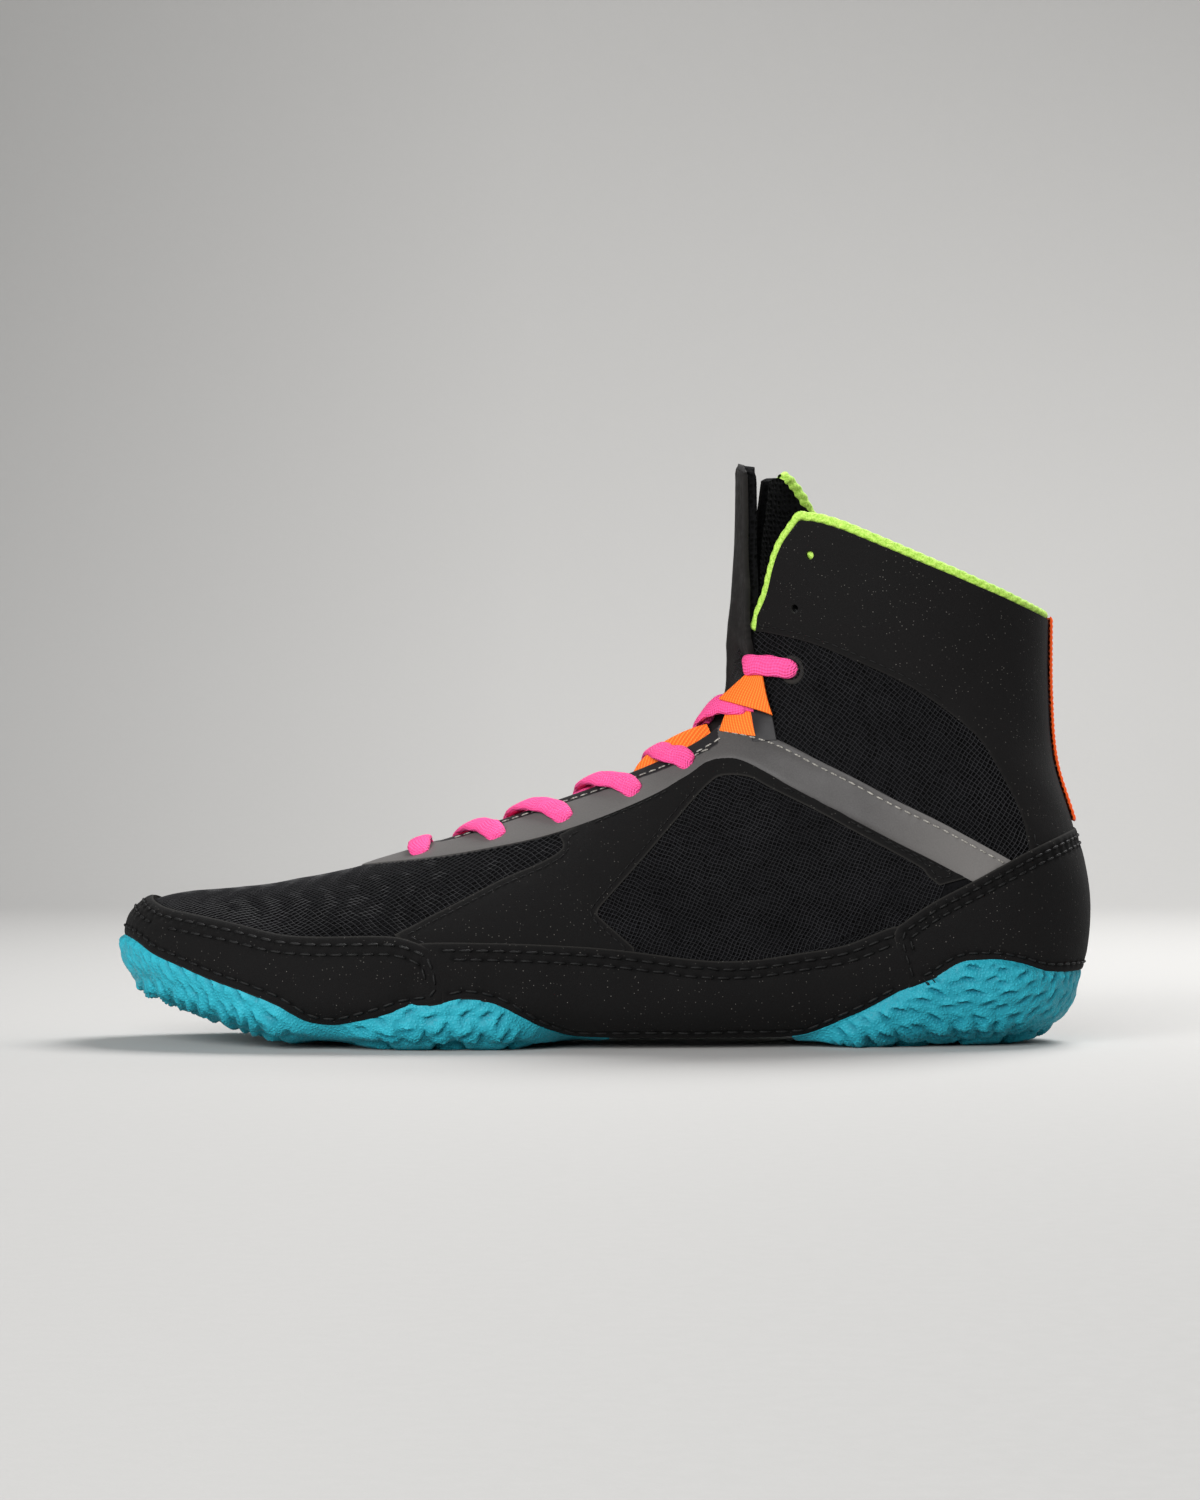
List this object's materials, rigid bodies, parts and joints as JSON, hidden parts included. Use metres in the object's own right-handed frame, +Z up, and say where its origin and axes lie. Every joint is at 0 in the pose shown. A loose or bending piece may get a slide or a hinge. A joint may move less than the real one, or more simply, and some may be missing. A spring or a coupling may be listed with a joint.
{
  "type": "wrestling shoe",
  "caption": "High-top wrestling shoe, left foot, with a split rubber sole, mesh and suede upper, lace stay, tongue, flat lace and bound collar; stands empty on its sole.",
  "frame": {"origin": "middle of the shoe's box, on the floor that the sole stands on", "axes": "+X from toe to heel, +Y towards the inner side of the foot, +Z up"},
  "size_m": [0.2819, 0.0969, 0.1685],
  "materials": {
    "upper_mesh": "open diamond mesh over a dark backing, matt",
    "sole_rubber": "moulded turquoise rubber with scale-like tufts, matt",
    "insole_foam": "cloth-faced foam",
    "tongue_face": "smooth dark face cloth, matt",
    "suede": "black nubuck with a short nap",
    "reflective_film": "grey reflective film, satin",
    "cuff_twill": "black twill",
    "seam_tape": "orange-red woven tape",
    "lime_binding": "rolled lime binding",
    "lace_weave": "flat woven hot pink lace",
    "webbing": "ribbed orange webbing"
  },
  "bodies": {
    "root": {"upper": "upper_mesh", "outsole_forefoot": "sole_rubber", "outsole_heel": "sole_rubber", "insole": "insole_foam", "tongue": "tongue_face", "toe_wrap": "suede", "side_wrap_lateral": "suede", "side_wrap_medial": "suede", "heel_counter": "suede", "saddle_lateral": "suede", "saddle_medial": "suede", "eyestay": "reflective_film", "ankle_cuff": "cuff_twill", "heel_tape": "seam_tape", "collar_binding": "lime_binding", "lace_bar": "lace_weave", "lace_cross_2": "lace_weave", "lace_cross_3": "lace_weave", "lace_cross_4": "lace_weave", "lace_cross_5": "lace_weave", "lace_cross_6": "lace_weave", "lace_top_lateral": "lace_weave", "lace_top_medial": "lace_weave", "lace_loop_lateral": "webbing", "lace_loop_medial": "webbing"}
  },
  "joints": []
}
